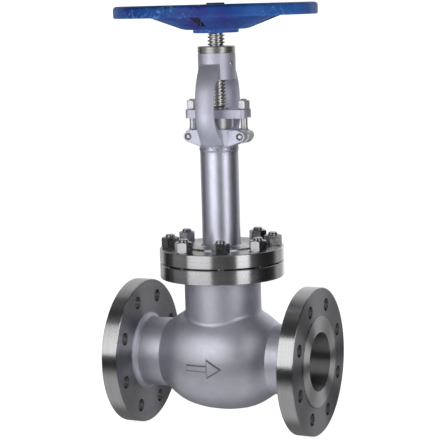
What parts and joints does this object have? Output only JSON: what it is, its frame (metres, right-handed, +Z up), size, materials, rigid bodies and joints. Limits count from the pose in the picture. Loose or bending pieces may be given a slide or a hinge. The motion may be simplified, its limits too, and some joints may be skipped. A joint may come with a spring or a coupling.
{
  "type": "globe valve",
  "caption": "Flanged globe valve with a long tubular bonnet, bolted gland, open yoke, rising threaded stem and dished handwheel.",
  "frame": {"origin": "centre of the inlet flange's raised face, on the flow axis", "axes": "+X along the flow from inlet to outlet, +Z up along the stem, +Y across the pipe by the right-hand rule"},
  "size_m": [0.356, 0.349, 0.7405],
  "materials": {
    "cast_steel": "shot-blasted stainless casting, machined flange rims and faces",
    "hard_facing": "lapped hard-faced steel",
    "machined_steel": "turned stainless steel",
    "stem_steel": "bright turned and threaded stainless bar",
    "graphite": "pressed graphite",
    "fastener_steel": "dark oiled stainless steel, bright chamfers",
    "fastener_bright": "plain stainless steel",
    "tube_steel": "satin stainless tube, lengthways polish",
    "yoke_steel": "satin stainless casting",
    "bushing_steel": "turned steel",
    "blue_paint": "worn semi-gloss blue paint"
  },
  "bodies": {
    "valve": {"body": "cast_steel", "seat_ring": "hard_facing", "backseat_bushing": "hard_facing", "bonnet_gasket": "graphite", "bonnet_flange": "machined_steel", "bonnet_studs": "fastener_steel", "bonnet_nuts": "fastener_steel", "extension_tube": "tube_steel", "yoke": "yoke_steel", "packing_spacer": "machined_steel", "packing_rings": "graphite", "gland": "machined_steel", "gland_flange": "yoke_steel", "eyebolt_pin_left": "fastener_bright", "eyebolt_pin_right": "fastener_bright", "yoke_bushing": "bushing_steel", "bushing_set_screw": "fastener_bright"},
    "plug": {"disc": "hard_facing", "disc_thrust_pad": "hard_facing", "disc_nut": "machined_steel"},
    "spindle": {"stem": "stem_steel", "handwheel": "blue_paint", "handwheel_key": "machined_steel", "handwheel_washer": "blue_paint", "handwheel_nut": "blue_paint"},
    "swing_bolt_left": {"eyebolt_left": "fastener_bright"},
    "swing_bolt_right": {"eyebolt_right": "fastener_bright"},
    "left_gland_nut": {"gland_nut_left": "fastener_bright"},
    "right_gland_nut": {"gland_nut_right": "fastener_bright"}
  },
  "joints": [
    {"name": "disc_lift", "type": "slide", "parent": "valve", "child": "plug", "axis": [0, 0, 1], "range_m": [0, 0.0241]},
    {"name": "handwheel_turn", "type": "hinge", "parent": "plug", "child": "spindle", "pos_m": [0.178, 0, 0.6], "axis": [0, 0, 1], "range_deg": [0, 1440]},
    {"name": "swing_left", "type": "hinge", "parent": "valve", "child": "swing_bolt_left", "pos_m": [0.13, 0, 0.386], "axis": [0, -1, 0], "range_deg": [0, 70]},
    {"name": "swing_right", "type": "hinge", "parent": "valve", "child": "swing_bolt_right", "pos_m": [0.226, 0, 0.386], "axis": [0, 1, 0], "range_deg": [0, 70]},
    {"name": "nut_left_back_off", "type": "slide", "parent": "swing_bolt_left", "child": "left_gland_nut", "axis": [0, 0, 1], "range_m": [0, 0.0119]},
    {"name": "nut_right_back_off", "type": "slide", "parent": "swing_bolt_right", "child": "right_gland_nut", "axis": [0, 0, 1], "range_m": [0, 0.0119]}
  ],
  "couplings": [
    {"joint": "disc_lift", "follows": "handwheel_turn", "m_per_rad": 0.00095493},
    {"joint": "nut_left_back_off", "follows": "swing_left", "m_per_rad": 0.0096},
    {"joint": "nut_right_back_off", "follows": "swing_right", "m_per_rad": 0.0096}
  ]
}
